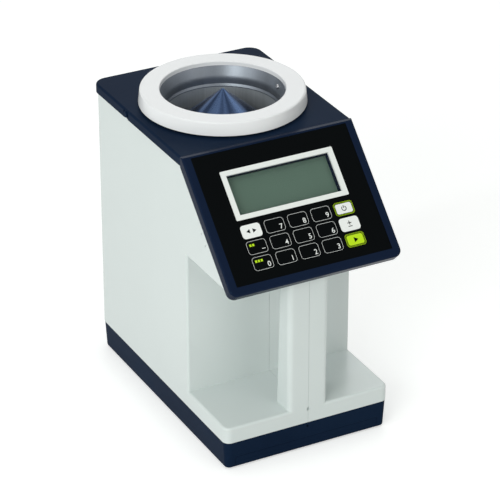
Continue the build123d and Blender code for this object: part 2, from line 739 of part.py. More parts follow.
# Display: white border, clear window, glass, holder and board
with BuildPart() as display_border:
    with BuildSketch(panel.offset(-stack_depth)):
        with Locations((0, display_middle_s)):
            RectangleRounded(border_width, border_height, 0.8)
            Rectangle(window_width, window_height, mode=Mode.SUBTRACT)
    extrude(amount=stack_depth - overlay_sink + 0.05)
display_border.part.label = "display_border"
export_step(display_border.part, "parts/display_border.step")

with BuildPart() as display_window:
    with BuildSketch(panel.offset(-stack_depth)):
        with Locations((0, display_middle_s)):
            Rectangle(window_width - 2 * fit_gap, window_height - 2 * fit_gap)
    extrude(amount=pane_thickness)
display_window.part.label = "display_window"
export_step(display_window.part, "parts/display_window.step")

with BuildPart() as lcd_glass:
    with BuildSketch(panel.offset(-lcd_depth)):
        with Locations((0, display_middle_s)):
            Rectangle(lcd_width, lcd_height)
    extrude(amount=-lcd_thickness)
lcd_glass.part.label = "lcd_glass"
export_step(lcd_glass.part, "parts/lcd_glass.step")

holder_depth = board_depth - lcd_depth
with BuildPart() as lcd_holder:
    with BuildSketch(panel.offset(-lcd_depth)):
        with Locations((0, display_middle_s)):
            RectangleRounded(lcd_width + 2 * (fit_gap + holder_wall), lcd_height + 2 * (fit_gap + holder_wall), 1.5)
    extrude(amount=-holder_depth)
    with BuildSketch(panel.offset(-lcd_depth)):
        with Locations((0, display_middle_s)):
            Rectangle(lcd_width + 2 * fit_gap, lcd_height + 2 * fit_gap)
    extrude(amount=-lcd_thickness, mode=Mode.SUBTRACT)
lcd_holder.part.label = "lcd_holder"
export_step(lcd_holder.part, "parts/lcd_holder.step")

display_board_foot = post_s[0] - 5.0
display_board_top = post_s[1] + 5.0
with BuildPart() as display_board:
    with BuildSketch(panel.offset(-board_depth)):
        with Locations((0, (display_board_foot + display_board_top) / 2)):
            RectangleRounded(2 * post_x + 9.0, display_board_top - display_board_foot, 1.5)
        for s in post_s:
            with Locations((-post_x, s), (post_x, s)):
                Circle(screw_radius + screw_clearance, mode=Mode.SUBTRACT)
    extrude(amount=-board_thickness)
    # Driver chip and two connectors on the rear face
    with BuildSketch(panel.offset(-board_depth - board_thickness)):
        with Locations((12, display_middle_s - 24)):
            Rectangle(14, 14)
        with Locations((-24, display_middle_s - 24)):
            Rectangle(18, 5)
        with Locations((34, display_middle_s)):
            Rectangle(5, 16)
    extrude(amount=-2.5)
display_board.part.label = "display_board"
export_step(display_board.part, "parts/display_board.step")

with BuildPart() as display_board_screws:
    with BuildSketch(panel.offset(-board_depth - board_thickness)):
        for s in post_s:
            with Locations((-post_x, s), (post_x, s)):
                Circle(screw_head_radius - 0.4)
    extrude(amount=-1.4)
    with BuildSketch(panel.offset(-board_depth - board_thickness)):
        for s in post_s:
            with Locations((-post_x, s), (post_x, s)):
                Circle(screw_radius - 0.5)
    extrude(amount=board_thickness + 3.0)
display_board_screws.part.label = "display_board_screws"
export_step(display_board_screws.part, "parts/display_board_screws.step")

# Buzzer on the left wall, behind its sound holes
with BuildPart() as buzzer:
    with BuildSketch(Plane(origin=(-inner_half, buzzer_y, buzzer_z), x_dir=(0, 1, 0), z_dir=(1, 0, 0))):
        Circle(buzzer_radius)
    extrude(amount=buzzer_height)
buzzer.part.label = "buzzer"
export_step(buzzer.part, "parts/buzzer.step")


# White hopper ring, hollow below, and the metal bowl under it
flange_radius = bowl_radius + sheet + flange_width - 3.0
ring_screw_radius = bowl_radius + sheet + 2.8
with BuildPart() as hopper_ring:
    with BuildSketch(axis_plane):
        with BuildLine():
            Polyline(
                (ring_opening_radius, ring_top),
                (ring_radius, ring_top),
                (ring_radius + ring_flare, ring_bottom),
                (ring_radius + ring_flare - ring_wall, ring_bottom),
                (ring_radius - ring_wall, bowl_top),
                (ring_opening_radius, bowl_top),
                close=True,
            )
        make_face()
        fillet(vertices().group_by(Axis.Y)[-1].sort_by(Axis.X)[-1], 1.0)
        fillet(vertices().group_by(Axis.Y)[-1].sort_by(Axis.X)[0], 0.6)
    revolve(axis=Axis((0, ring_y, 0), (0, 0, 1)))
    with Locations((0, ring_y, bowl_top)):
        with PolarLocations(ring_screw_radius, 4, start_angle=45):
            Cylinder(screw_radius - 0.4, 3.6, mode=Mode.SUBTRACT)
hopper_ring.part.label = "hopper_ring"
export_step(hopper_ring.part, "parts/hopper_ring.step")

# The thermistor stands square to the flared wall
can_outer = chamber_radius + chamber_wall
collar_radius = can_outer + 0.05
thermistor_z = ring_top - thermistor_drop
thermistor_wall = neck_radius + (thermistor_z - neck_top) * tan(flare_angle)
thermistor_inward = (0, degrees(flare_angle) - 90, 0)
thermistor_outward = (0, degrees(flare_angle) + 90, 0)
with BuildPart() as hopper_bowl:
    with BuildSketch(axis_plane):
        with BuildLine():
            Polyline(
                (bowl_radius, bowl_top),
                (neck_radius, neck_top),
                (neck_radius, shoulder_top),
                (chamber_radius, chamber_top + 0.6),
                (chamber_radius, chamber_top),
                (collar_radius, chamber_top),
                (collar_radius, chamber_top - collar_depth),
                (collar_radius + sheet, chamber_top - collar_depth),
                (collar_radius + sheet, neck_top),
                (bowl_radius + sheet, bowl_top - sheet),
                (flange_radius, bowl_top - sheet),
                (flange_radius, bowl_top),
                close=True,
            )
        make_face()
        neck_corner = vertices().sort_by_distance((neck_radius, neck_top))[0]
        fillet(neck_corner, flare_fillet)
    revolve(axis=Axis((0, ring_y, 0), (0, 0, 1)))
    with Locations((0, ring_y, bowl_top)):
        with PolarLocations(ring_screw_radius, 4, start_angle=45):
            Cylinder(screw_radius - 0.2, 6, mode=Mode.SUBTRACT)
    with Locations((0, ring_y, thermistor_z)):
        with PolarLocations(thermistor_wall, 1, start_angle=thermistor_angle):
            Cylinder(thermistor_radius + fit_gap, 8, rotation=thermistor_outward, mode=Mode.SUBTRACT)
hopper_bowl.part.label = "hopper_bowl"
export_step(hopper_bowl.part, "parts/hopper_bowl.step")

with BuildPart() as ring_screws:
    with Locations((0, ring_y, bowl_top - sheet)):
        with PolarLocations(ring_screw_radius, 4, start_angle=45):
            Cylinder(screw_head_radius - 0.7, 1.2, align=(Align.CENTER, Align.CENTER, Align.MAX))
            Cylinder(screw_radius - 0.5, sheet + 1.6, align=(Align.CENTER, Align.CENTER, Align.MIN))
ring_screws.part.label = "ring_screws"
export_step(ring_screws.part, "parts/ring_screws.step")

with BuildPart() as sample_thermistor:
    with Locations((0, ring_y, thermistor_z)):
        with PolarLocations(thermistor_wall - 0.15, 1, start_angle=thermistor_angle):
            Cylinder(thermistor_radius + 0.6, 0.8, rotation=thermistor_inward,
                     align=(Align.CENTER, Align.CENTER, Align.MIN))
            Cylinder(thermistor_radius, 4.0, rotation=thermistor_outward,
                     align=(Align.CENTER, Align.CENTER, Align.MIN))
    fillet(sample_thermistor.edges().sort_by(Axis.X)[0], 0.5)
sample_thermistor.part.label = "sample_thermistor"
export_step(sample_thermistor.part, "parts/sample_thermistor.step")

with BuildPart() as outer_electrode:
    with BuildSketch(Plane.XY.offset(can_bottom)):
        with Locations((0, ring_y)):
            Circle(can_outer)
            Circle(chamber_radius, mode=Mode.SUBTRACT)
    extrude(amount=chamber_top - can_bottom)
outer_electrode.part.label = "outer_electrode"
export_step(outer_electrode.part, "parts/outer_electrode.step")

# Centre electrode: a hollow cylinder with a cone that parts the falling grain, and a stem inside
cone_angle = atan(cone_height / electrode_radius)
cone_apex = ring_top - 0.4
cone_foot = cone_apex - cone_height
tip_middle = cone_apex - cone_tip_radius / cos(cone_angle)
tip_edge = (cone_tip_radius * sin(cone_angle), tip_middle + cone_tip_radius * cos(cone_angle))
tip_half_way = (cone_tip_radius * sin(cone_angle / 2), tip_middle + cone_tip_radius * cos(cone_angle / 2))
stem_foot = chamber_floor + spigot_height
stem_radius = 2.0
with BuildPart() as centre_electrode:
    with BuildSketch(axis_plane):
        with BuildLine():
            ThreePointArc((0, tip_middle + cone_tip_radius), tip_half_way, tip_edge)
            Polyline(
                tip_edge,
                (electrode_radius, cone_foot),
                (electrode_radius, chamber_floor),
                (electrode_radius - electrode_wall, chamber_floor),
                (electrode_radius - electrode_wall, cone_foot - 1),
                (stem_radius, cone_apex - 4.0),
                (stem_radius, stem_foot),
                (0, stem_foot),
                (0, tip_middle + cone_tip_radius),
            )
        make_face()
        fillet(vertices().filter_by(lambda v: abs(v.Y - cone_foot) < 0.01), 1.0)
    revolve(axis=Axis((0, ring_y, 0), (0, 0, 1)))
centre_electrode.part.label = "centre_electrode"
export_step(centre_electrode.part, "parts/centre_electrode.step")

# Insulating base of the chamber, on the plate of the weighing gear
with BuildPart() as cell_base:
    with Locations((0, ring_y, cell_base_bottom)):
        Cylinder(can_outer + 4, base_disc, align=(Align.CENTER, Align.CENTER, Align.MIN))
        Cylinder(chamber_radius - fit_gap, base_disc + floor_disc, align=(Align.CENTER, Align.CENTER, Align.MIN))
        Cylinder(electrode_radius - electrode_wall - fit_gap, base_disc + floor_disc + spigot_height,
                 align=(Align.CENTER, Align.CENTER, Align.MIN))
        with PolarLocations(cell_screw_ring, 3, start_angle=30):
            Cylinder(screw_radius + screw_clearance, 2 * (base_disc + floor_disc - 2), mode=Mode.SUBTRACT)
cell_base.part.label = "cell_base"
export_step(cell_base.part, "parts/cell_base.step")

with BuildPart() as weigh_platform:
    with Locations((0, ring_y, platform_bottom)):
        Cylinder(platform_radius, platform_thickness, align=(Align.CENTER, Align.CENTER, Align.MIN))
        Cylinder(post_radius, post_height, align=(Align.CENTER, Align.CENTER, Align.MAX))
        with PolarLocations(cell_screw_ring, 3, start_angle=30):
            Cylinder(screw_radius + screw_clearance, 3 * platform_thickness, mode=Mode.SUBTRACT)
weigh_platform.part.label = "weigh_platform"
export_step(weigh_platform.part, "parts/weigh_platform.step")

with BuildPart() as cell_screws:
    with Locations((0, ring_y, platform_bottom)):
        with PolarLocations(cell_screw_ring, 3, start_angle=30):
            Cylinder(screw_head_radius, screw_head_height, align=(Align.CENTER, Align.CENTER, Align.MAX))
            Cylinder(screw_radius, platform_thickness + base_disc, align=(Align.CENTER, Align.CENTER, Align.MIN))
cell_screws.part.label = "cell_screws"
export_step(cell_screws.part, "parts/cell_screws.step")


# Load cell under the chamber: a beam fixed at its rear end, free at its front end
beam_rear = tray_rear - beam_rear_gap
beam_length = beam_rear - beam_front
beam_middle_y = (beam_front + beam_rear) / 2
beam_middle_z = (beam_top + beam_bottom) / 2
mount_length = beam_length / 3
cell_bolt_ys = (beam_rear - mount_length / 4, beam_rear - 3 * mount_length / 4)
with BuildPart() as load_cell:
    with Locations((0, beam_middle_y, beam_middle_z)):
        Box(beam_section, beam_length, beam_section)
        with GridLocations(0, 3.2 * beam_bore_radius, 1, 2):
            Cylinder(beam_bore_radius, 2 * beam_section, rotation=(0, 90, 0), mode=Mode.SUBTRACT)
        Box(2 * beam_section, 3.2 * beam_bore_radius, 3.0, mode=Mode.SUBTRACT)
    for bolt_y in cell_bolt_ys:
        with Locations((0, bolt_y, beam_middle_z)):
            Cylinder(screw_radius + screw_clearance, 2 * beam_section, mode=Mode.SUBTRACT)
load_cell.part.label = "load_cell"
export_step(load_cell.part, "parts/load_cell.step")

with BuildPart() as load_cell_mount:
    with Locations((0, beam_rear - mount_length / 2, tray_top + mount_height / 2)):
        Box(beam_section + 4, mount_length, mount_height)
    for bolt_y in cell_bolt_ys:
        with Locations((0, bolt_y, tray_top)):
            Cylinder(screw_radius + screw_clearance, 4 * mount_height, mode=Mode.SUBTRACT)
load_cell_mount.part.label = "load_cell_mount"
export_step(load_cell_mount.part, "parts/load_cell_mount.step")

with BuildPart() as load_cell_screws:
    for bolt_y in cell_bolt_ys:
        with Locations((0, bolt_y, beam_top)):
            Cylinder(screw_head_radius, screw_head_height, align=(Align.CENTER, Align.CENTER, Align.MIN))
            Cylinder(screw_radius, beam_top - tray_bottom, align=(Align.CENTER, Align.CENTER, Align.MAX))
load_cell_screws.part.label = "load_cell_screws"
export_step(load_cell_screws.part, "parts/load_cell_screws.step")

with BuildPart() as chassis_tray:
    with Locations((0, tray_middle_y, tray_bottom + tray_thickness / 2)):
        Box(2 * (inner_half - tray_inset), tray_length, tray_thickness)
    for bolt_y in cell_bolt_ys:
        with Locations((0, bolt_y, tray_bottom)):
            Cylinder(screw_radius + screw_clearance, 4 * tray_thickness, mode=Mode.SUBTRACT)
    for side in (-1, 1):
        for hole_y in tray_screw_ys:
            with Locations((side * tray_screw_x, hole_y, tray_bottom)):
                Cylinder(screw_radius + screw_clearance, 4 * tray_thickness, mode=Mode.SUBTRACT)
        # Windows that let the cables through
        with Locations((side * inner_half / 2, tray_middle_y, tray_bottom)):
            Box(inner_half / 2, tray_length / 2, 4 * tray_thickness, mode=Mode.SUBTRACT)
chassis_tray.part.label = "chassis_tray"
export_step(chassis_tray.part, "parts/chassis_tray.step")

with BuildPart() as tray_screws:
    for hole_y in tray_screw_ys:
        with Locations((-tray_screw_x, hole_y, tray_top), (tray_screw_x, hole_y, tray_top)):
            Cylinder(screw_head_radius, screw_head_height, align=(Align.CENTER, Align.CENTER, Align.MIN))
            Cylinder(screw_radius, tray_thickness + ledge_height - 2,
                     align=(Align.CENTER, Align.CENTER, Align.MAX))
tray_screws.part.label = "tray_screws"
export_step(tray_screws.part, "parts/tray_screws.step")


# Main board on the posts of the base pan
with BuildPart() as main_board:
    with Locations((0, main_board_middle_y, main_board_height + board_thickness / 2)):
        Box(main_board_width, main_board_length, board_thickness)
        with GridLocations(2 * board_hole_x, 2 * board_hole_y, 2, 2):
            Cylinder(screw_radius + screw_clearance, 2 * board_thickness, mode=Mode.SUBTRACT)
    # Processor, memory, power coil and the row of connectors
    with Locations((0, main_board_middle_y, main_board_height + board_thickness)):
        for across, along, wide, deep, tall in (
            (-0.11, -0.08, 0.22, 0.19, 1.4),
            (0.20, -0.10, 0.13, 0.08, 1.0),
            (0.24, 0.17, 0.14, 0.12, 3.8),
            (0.0, 0.40, 0.44, 0.06, 4.4),
            (-0.31, 0.19, 0.09, 0.17, 2.5),
        ):
            with Locations((across * main_board_width, along * main_board_length, 0)):
                Box(wide * main_board_width, deep * main_board_length, tall * board_thickness,
                    align=(Align.CENTER, Align.CENTER, Align.MIN))
main_board.part.label = "main_board"
export_step(main_board.part, "parts/main_board.step")

with BuildPart() as main_board_screws:
    with Locations((0, main_board_middle_y, main_board_height + board_thickness)):
        with GridLocations(2 * board_hole_x, 2 * board_hole_y, 2, 2):
            Cylinder(screw_head_radius - 0.4, 1.6, align=(Align.CENTER, Align.CENTER, Align.MIN))
            Cylinder(screw_radius - 0.5, board_thickness + 6, align=(Align.CENTER, Align.CENTER, Align.MAX))
main_board_screws.part.label = "main_board_screws"
export_step(main_board_screws.part, "parts/main_board_screws.step")
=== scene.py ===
"""Grain moisture meter: finishes, printed keypad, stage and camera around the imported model."""
import json
import logging
import math
from dataclasses import dataclass, field
from enum import Enum
from typing import Any

import bmesh
import bpy
from mathutils import Matrix, Vector

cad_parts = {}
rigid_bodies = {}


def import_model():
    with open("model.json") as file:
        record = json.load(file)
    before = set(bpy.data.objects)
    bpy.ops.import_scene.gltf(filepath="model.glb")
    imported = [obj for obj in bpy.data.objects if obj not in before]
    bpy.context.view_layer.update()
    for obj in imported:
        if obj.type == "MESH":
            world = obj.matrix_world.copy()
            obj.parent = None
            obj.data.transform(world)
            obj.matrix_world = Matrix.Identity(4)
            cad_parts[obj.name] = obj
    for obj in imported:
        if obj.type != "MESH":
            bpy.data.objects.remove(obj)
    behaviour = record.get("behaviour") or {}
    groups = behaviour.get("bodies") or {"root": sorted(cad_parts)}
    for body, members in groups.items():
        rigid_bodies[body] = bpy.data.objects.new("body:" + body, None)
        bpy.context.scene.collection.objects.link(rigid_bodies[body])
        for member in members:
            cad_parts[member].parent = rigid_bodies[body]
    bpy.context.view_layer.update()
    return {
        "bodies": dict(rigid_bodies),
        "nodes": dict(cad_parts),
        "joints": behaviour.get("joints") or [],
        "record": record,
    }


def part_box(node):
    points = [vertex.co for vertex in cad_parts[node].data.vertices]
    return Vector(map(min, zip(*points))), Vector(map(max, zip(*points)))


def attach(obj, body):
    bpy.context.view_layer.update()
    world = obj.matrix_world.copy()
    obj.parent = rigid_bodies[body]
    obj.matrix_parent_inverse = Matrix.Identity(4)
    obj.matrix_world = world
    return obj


Pair = tuple[float, float]
Point = tuple[float, float, float]
Colour = tuple[float, float, float]

LOG = logging.getLogger("grain_meter")
MM = 0.001
BLACK: Colour = (0.0, 0.0, 0.0)
WHITE: Colour = (1.0, 1.0, 1.0)
NOISE_MIDDLE = 0.5

# The display scale's curve: a straight slope below the knee, a power above it
DISPLAY_RANGE = 255
DISPLAY_KNEE = 0.04045
DISPLAY_SLOPE = 12.92
DISPLAY_OFFSET = 0.055
DISPLAY_POWER = 2.4

# Meshing of the prints: a grid of this half size is one unit wide
HALF_GRID = 0.5
CORNER_STEPS = 8
CORNER_PROFILE = 0.5
ARC_STEPS = 28

# Width of a sign's strokes, in millimetres
SIGN_LINE = 0.5


def srgb(red: int, green: int, blue: int) -> Colour:
    """Turns a colour on the 0 to 255 display scale into linear light.

    Args:
        red: display red.
        green: display green.
        blue: display blue.

    Returns:
        The three linear values.
    """
    def channel(value: int) -> float:
        """One channel of the conversion."""
        share = value / DISPLAY_RANGE
        if share <= DISPLAY_KNEE:
            return share / DISPLAY_SLOPE
        return ((share + DISPLAY_OFFSET) / (1 + DISPLAY_OFFSET)) ** DISPLAY_POWER

    return channel(red), channel(green), channel(blue)


@dataclass(frozen=True)
class Pattern:
    """Soft noise: waves per metre, how many finer layers it has, and how strong they are."""

    scale: float
    detail: float = 2.0
    roughness: float = 0.5


@dataclass(frozen=True)
class Relief:
    """Bump of a surface: share of its effect, and the depth of the full height in metres."""

    strength: float
    depth: float


class Signal:
    """One value inside a shader, which can be added, multiplied and so on like a number."""

    def __init__(self, graph: "Graph", socket: bpy.types.NodeSocket) -> None:
        """Keeps the graph and the socket that carries the value."""
        self.graph = graph
        self.socket = socket

    def _math(self, operation: str, first: Any, second: Any = 0.0) -> "Signal":
        """Adds one Math node.

        Args:
            operation: the node's operation.
            first: number or signal for the first socket.
            second: number or signal for the second socket.

        Returns:
            The node's value.
        """
        node = self.graph.node("ShaderNodeMath", {"operation": operation}, {0: first, 1: second})
        return Signal(self.graph, node.outputs[0])

    def __add__(self, other: Any) -> "Signal":
        """This value plus another."""
        return self._math("ADD", self, other)

    __radd__ = __add__

    def __sub__(self, other: Any) -> "Signal":
        """This value minus another."""
        return self._math("SUBTRACT", self, other)

    def __rsub__(self, other: Any) -> "Signal":
        """Another value minus this one."""
        return self._math("SUBTRACT", other, self)

    def __mul__(self, other: Any) -> "Signal":
        """This value times another."""
        return self._math("MULTIPLY", self, other)

    __rmul__ = __mul__

    def absolute(self) -> "Signal":
        """This value without its sign."""
        return self._math("ABSOLUTE", self)

    def highest(self, other: Any) -> "Signal":
        """The larger of this value and another."""
        return self._math("MAXIMUM", self, other)

    def sine(self) -> "Signal":
        """The sine of this value."""
        return self._math("SINE", self)

    def angle_to(self, other: Any) -> "Signal":
        """The angle whose tangent is this value over another."""
        return self._math("ARCTAN2", self, other)

    def clamped(self) -> "Signal":
        """This value held between 0 and 1."""
        node = self.graph.node("ShaderNodeClamp", {}, {"Value": self})
        return Signal(self.graph, node.outputs[0])


class Graph:
    """The node tree of one material or world, with short calls for the nodes in use."""

    def __init__(self, tree: bpy.types.NodeTree) -> None:
        """Empties the tree and keeps it."""
        self.tree = tree
        tree.nodes.clear()

    def node(self, kind: str, settings: dict[str, Any], sockets: dict[Any, Any]) -> bpy.types.Node:
        """Adds a node.

        Args:
            kind: the node's type.
            settings: properties, set first.
            sockets: numbers, colours or signals, by socket name or place.

        Returns:
            The new node.
        """
        node = self.tree.nodes.new(kind)
        for name, value in settings.items():
            setattr(node, name, value)
        for name, value in sockets.items():
            target = node.inputs[name]
            if isinstance(value, Signal):
                self.tree.links.new(value.socket, target)
            elif target.type == "RGBA":
                target.default_value = (*value, 1.0)
            else:
                target.default_value = value
        return node

    def place(self, centre: Point = (0.0, 0.0, 0.0)) -> Signal:
        """The point on the object, in metres, seen from a centre.

        Args:
            centre: the point that becomes zero.

        Returns:
            The vector.
        """
        coordinates = self.node("ShaderNodeTexCoord", {}, {})
        source = Signal(self, coordinates.outputs["Object"])
        sockets = {0: source, 1: centre}
        shifted = self.node("ShaderNodeVectorMath", {"operation": "SUBTRACT"}, sockets)
        return Signal(self, shifted.outputs[0])

    def stretch(self, vector: Signal, factors: Point) -> Signal:
        """A vector with each axis multiplied by its own factor."""
        node = self.node("ShaderNodeVectorMath", {"operation": "MULTIPLY"}, {0: vector, 1: factors})
        return Signal(self, node.outputs[0])

    def axes(self, vector: Signal) -> tuple[Signal, Signal, Signal]:
        """The three parts of a vector."""
        node = self.node("ShaderNodeSeparateXYZ", {}, {0: vector})
        return tuple(Signal(self, output) for output in node.outputs[:3])

    def joined(self, x: Any, y: Any, z: Any) -> Signal:
        """A vector made of three values."""
        node = self.node("ShaderNodeCombineXYZ", {}, {0: x, 1: y, 2: z})
        return Signal(self, node.outputs[0])

    def noise(self, vector: Signal, pattern: Pattern) -> Signal:
        """Soft noise between 0 and 1.

        Args:
            vector: where it is read.
            pattern: its size and layers.

        Returns:
            The value.
        """
        node = self.node("ShaderNodeTexNoise", {}, {
            "Vector": vector,
            "Scale": pattern.scale,
            "Detail": pattern.detail,
            "Roughness": pattern.roughness,
        })
        return Signal(self, node.outputs["Fac"])

    def cells(self, vector: Signal, scale: float) -> Signal:
        """Distance to the nearest of many scattered points, for moulded grain."""
        sockets = {"Vector": vector, "Scale": scale}
        node = self.node("ShaderNodeTexVoronoi", {"feature": "F1"}, sockets)
        return Signal(self, node.outputs["Distance"])

    def mix(self, factor: Any, first: Any, second: Any) -> Signal:
        """Blends two colours.

        Args:
            factor: 0 gives the first, 1 the second.
            first: colour or signal.
            second: colour or signal.

        Returns:
            The colour.
        """
        sockets = {0: factor, 6: first, 7: second}
        node = self.node("ShaderNodeMix", {"data_type": "RGBA"}, sockets)
        return Signal(self, node.outputs[2])

    def bump(self, height: Signal, relief: Relief) -> Signal:
        """A normal that follows a height.

        Args:
            height: the height, from 0 to 1.
            relief: how strong and how deep it is.

        Returns:
            The normal.
        """
        sockets = {"Height": height, "Strength": relief.strength, "Distance": relief.depth}
        return Signal(self, self.node("ShaderNodeBump", {}, sockets).outputs[0])

    def looked_at(self) -> Signal:
        """1 where the eye sees this place, be it by gloss or through glass, and 0 for other light."""
        path = self.node("ShaderNodeLightPath", {}, {})
        eye, gloss, glass = (
            Signal(self, path.outputs[f"Is {kind} Ray"])
            for kind in ("Camera", "Glossy", "Transmission")
        )
        return eye.highest(gloss).highest(glass)

    def surface(self, sockets: dict[str, Any]) -> None:
        """Ends a material in one Principled shader with these sockets."""
        self.end("ShaderNodeBsdfPrincipled", "ShaderNodeOutputMaterial", sockets)

    def end(self, shader_kind: str, output_kind: str, sockets: dict[str, Any]) -> None:
        """Adds the last shader and links it to the tree's output.

        Args:
            shader_kind: the shader node's type.
            output_kind: the output node's type.
            sockets: values of the shader's sockets.
        """
        shader = self.node(shader_kind, {}, sockets)
        output = self.node(output_kind, {}, {})
        self.tree.links.new(shader.outputs[0], output.inputs["Surface"])


@dataclass(frozen=True)
class Finish:
    """One material. Each kind of finish draws its own nodes in shade."""

    name: str

    def build(self) -> bpy.types.Material:
        """Makes the material."""
        material = bpy.data.materials.new(self.name)
        material.use_nodes = True
        self.shade(Graph(material.node_tree))
        return material

    def shade(self, graph: Graph) -> None:
        """Draws the nodes."""
        raise NotImplementedError


@dataclass(frozen=True)
class MouldedPlastic(Finish):
    """Injection-moulded plastic with a fine grain and a slight drift of colour.

    Wear is how far the roughness wanders where hands have been. Grain is in cells per metre.
    """

    colour: Colour
    drift: Colour
    roughness: float = 0.4
    specular: float = 0.5
    sheen_tint: Colour = WHITE
    wear: float = 0.04
    cloud: Pattern = Pattern(14.0, 3.0, 0.55)
    handling: Pattern = Pattern(55.0, 4.0, 0.6)
    grain: float = 1800.0
    grain_depth: float = 0.012 * MM
    grain_strength: float = 0.35

    def shade(self, graph: Graph) -> None:
        """Draws the nodes."""
        place = graph.place()
        cloud = graph.noise(place, self.cloud)
        grain = graph.cells(place, self.grain)
        handled = graph.noise(place, self.handling)
        graph.surface({
            "Base Color": graph.mix(cloud, self.colour, self.drift),
            "Roughness": (handled - NOISE_MIDDLE) * self.wear + self.roughness,
            "Specular IOR Level": self.specular,
            "Specular Tint": self.sheen_tint,
            "Normal": graph.bump(grain, Relief(self.grain_strength, self.grain_depth)),
        })


@dataclass(frozen=True)
class TurnedMetal(Finish):
    """Round metal piece: pale and dark sectors round its axis, painted reflections of the lamps;
    thin streaks along its wall, turning marks with painted reflection in them; a blasted grain.

    The lobe count sets how many painted reflection sectors there are round the centre. Streaks and
    grain are the shares of the tone that they take from the sectors.
    """

    dark: Colour
    light: Colour
    centre: Pair
    metallic: float = 1.0
    roughness: float = 0.3
    lobes: float = 5.0
    lobe_detail: float = 1.0
    lobe_roughness: float = 0.4
    contrast: float = 2.0
    streaks: float = 0.3
    grain: float = 0.3
    streak_pattern: Pattern = Pattern(60.0, 3.0, 0.6)
    grain_pattern: Pattern = Pattern(2600.0, 2.0, 0.6)
    roughness_spread: float = 0.15
    grain_in_relief: float = 0.6
    relief: Relief = Relief(0.25, 0.02 * MM)

    def shade(self, graph: Graph) -> None:
        """Draws the nodes."""
        place = graph.place((*self.centre, 0.0))
        x, y, _ = graph.axes(place)
        angle = y.angle_to(x)
        around = graph.joined(angle.sine(), (angle + math.pi / 2).sine(), 0.0)
        # Painted reflection: pale and dark sectors by angle round the axis stand in for the lamps'
        # reflections in the turned metal.
        lobes = graph.noise(around, Pattern(self.lobes, self.lobe_detail, self.lobe_roughness))
        painted_reflection_sector = (lobes - NOISE_MIDDLE) * self.contrast + NOISE_MIDDLE
        # Streaks along the wall: turning marks, which also carry painted reflection streaks.
        streak = graph.noise(around, self.streak_pattern)
        grain = graph.noise(place, self.grain_pattern)
        # Share of the tone left to the painted reflection sectors.
        painted_reflection_share = 1.0 - self.streaks - self.grain
        tone = painted_reflection_sector.clamped() * painted_reflection_share + streak * self.streaks + grain * self.grain
        height = grain * self.grain_in_relief + streak * (1.0 - self.grain_in_relief)
        graph.surface({
            "Base Color": graph.mix(tone.clamped(), self.dark, self.light),
            "Metallic": self.metallic,
            "Roughness": (grain - NOISE_MIDDLE) * self.roughness_spread + self.roughness,
            "Normal": graph.bump(height, self.relief),
        })


@dataclass(frozen=True)
class SheetMetal(Finish):
    """Plain worked metal with fine straight brushing and a few dull patches."""

    colour: Colour
    roughness: float = 0.35
    roughness_spread: float = 0.2
    dullness: float = 0.8
    brush_stretch: Point = (40.0, 1.0, 40.0)
    brush: Pattern = Pattern(60.0, 3.0, 0.6)
    patches: Pattern = Pattern(60.0, 3.0, 0.5)
    relief: Relief = Relief(0.15, 0.01 * MM)

    def shade(self, graph: Graph) -> None:
        """Draws the nodes."""
        place = graph.place()
        brushed = graph.noise(graph.stretch(place, self.brush_stretch), self.brush)
        patches = graph.noise(place, self.patches)
        dull = tuple(self.dullness * part for part in self.colour)
        lowest = self.roughness - self.roughness_spread / 2
        graph.surface({
            "Base Color": graph.mix(brushed, dull, self.colour),
            "Metallic": 1.0,
            "Roughness": patches * self.roughness_spread + lowest,
            "Normal": graph.bump(brushed, self.relief),
        })


@dataclass(frozen=True)
class PrintedInk(Finish):
    """Screen-printed ink or film: even, with a faint mottle."""

    colour: Colour
    roughness: float = 0.5
    specular: float = 0.3
    roughness_spread: float = 0.1
    pale_from: float = 0.2
    pale_base: float = 0.04
    pale_share: float = 0.93
    dark_share: float = 1.25
    mottle: Pattern = Pattern(900.0)
    relief: Relief = Relief(0.1, 0.008 * MM)

    def mottled(self, part: float) -> float:
        """One channel of the mottle's second colour, from the same channel of the first."""
        if part > self.pale_from:
            return min(1.0, self.pale_base + self.pale_share * part)
        return part * self.dark_share

    def shade(self, graph: Graph) -> None:
        """Draws the nodes."""
        mottle = graph.noise(graph.place(), self.mottle)
        second = tuple(self.mottled(part) for part in self.colour)
        graph.surface({
            "Base Color": graph.mix(mottle, self.colour, second),
            "Roughness": (mottle - NOISE_MIDDLE) * self.roughness_spread + self.roughness,
            "Specular IOR Level": self.specular,
            "Normal": graph.bump(mottle, self.relief),
        })


@dataclass(frozen=True)
class CrystalDisplay(Finish):
    """Reflective liquid crystal glass at rest: grey green, a little uneven."""

    colour: Colour
    shadow: Colour
    roughness: float = 0.38
    specular: float = 0.12
    cloud_share: float = 0.7
    cloud: Pattern = Pattern(22.0, 2.0, 0.4)
    speckle: Pattern = Pattern(4200.0, 1.0, 0.5)
    relief: Relief = Relief(0.08, 0.005 * MM)

    def shade(self, graph: Graph) -> None:
        """Draws the nodes."""
        place = graph.place()
        cloud = graph.noise(place, self.cloud)
        speckle = graph.noise(place, self.speckle)
        tone = cloud * self.cloud_share + speckle * (1.0 - self.cloud_share)
        graph.surface({
            "Base Color": graph.mix(tone.clamped(), self.shadow, self.colour),
            "Roughness": self.roughness,
            "Specular IOR Level": self.specular,
            "Normal": graph.bump(speckle, self.relief),
        })


@dataclass(frozen=True)
class ClearPane(Finish):
    """Clear acrylic pane, seen mostly by its gloss."""

    tint: Colour
    alpha: float = 0.1
    alpha_spread: float = 0.03
    roughness: float = 0.04
    roughness_spread: float = 0.05
    haze: Pattern = Pattern(70.0, 3.0, 0.5)

    def shade(self, graph: Graph) -> None:
        """Draws the nodes."""
        haze = graph.noise(graph.place(), self.haze)
        graph.surface({
            "Base Color": self.tint,
            "Roughness": haze * self.roughness_spread + self.roughness,
            "Alpha": haze * self.alpha_spread + self.alpha,
        })


